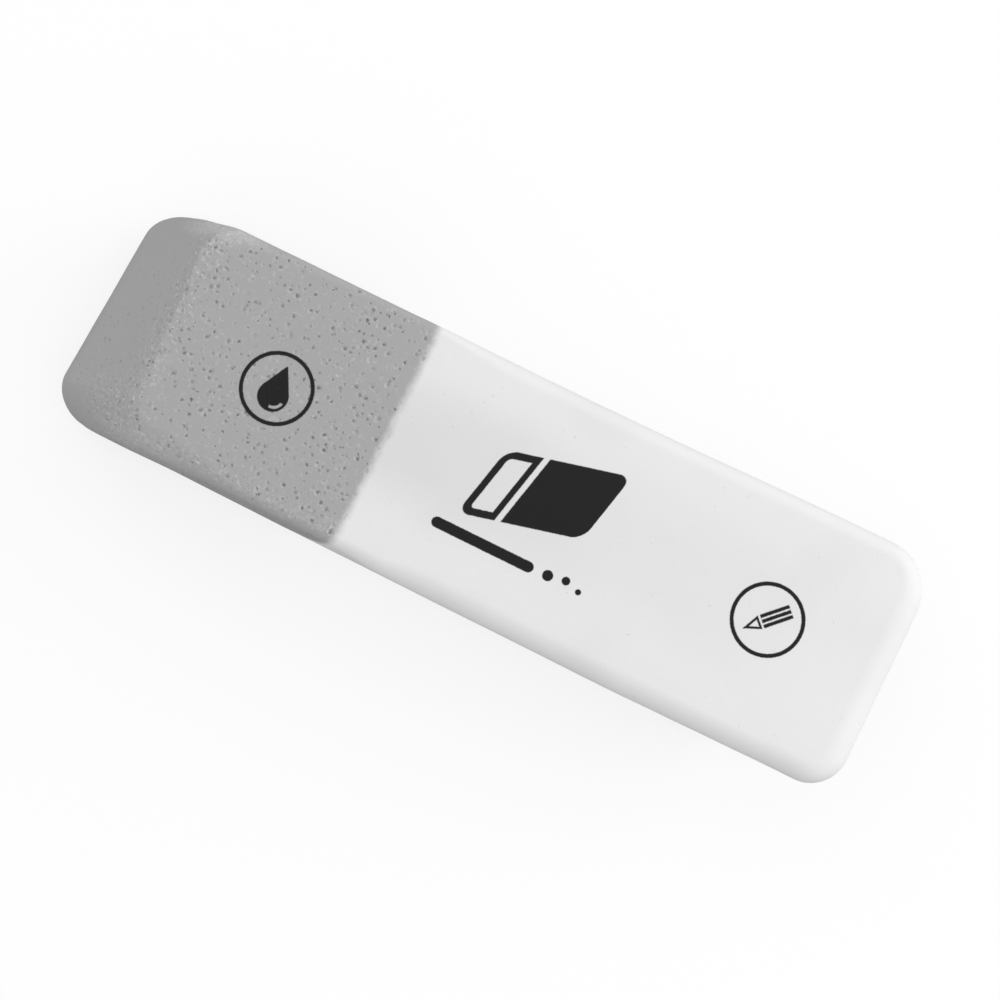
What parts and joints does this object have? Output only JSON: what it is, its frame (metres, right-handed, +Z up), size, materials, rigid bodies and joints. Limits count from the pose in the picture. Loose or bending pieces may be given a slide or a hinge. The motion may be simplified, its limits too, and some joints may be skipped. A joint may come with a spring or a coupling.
{
  "type": "rubber eraser",
  "caption": "Leaning rubber eraser block with tumbled edges: a gritty grey end for ink and a smooth white end for pencil.",
  "frame": {"origin": "on the surface it rests on, under the middle of the block's box", "axes": "+X along the length towards the white pencil end, +Y across the width, +Z up through the thickness"},
  "size_m": [0.058, 0.0168, 0.009],
  "materials": {
    "ink_rubber": "matt grey rubber filled with grit, with fine dark pits and pale grains",
    "pencil_rubber": "matt smooth white rubber with a chalky bloom and a few faint specks"
  },
  "bodies": {
    "root": {"ink_end": "ink_rubber", "pencil_end": "pencil_rubber"}
  },
  "joints": []
}
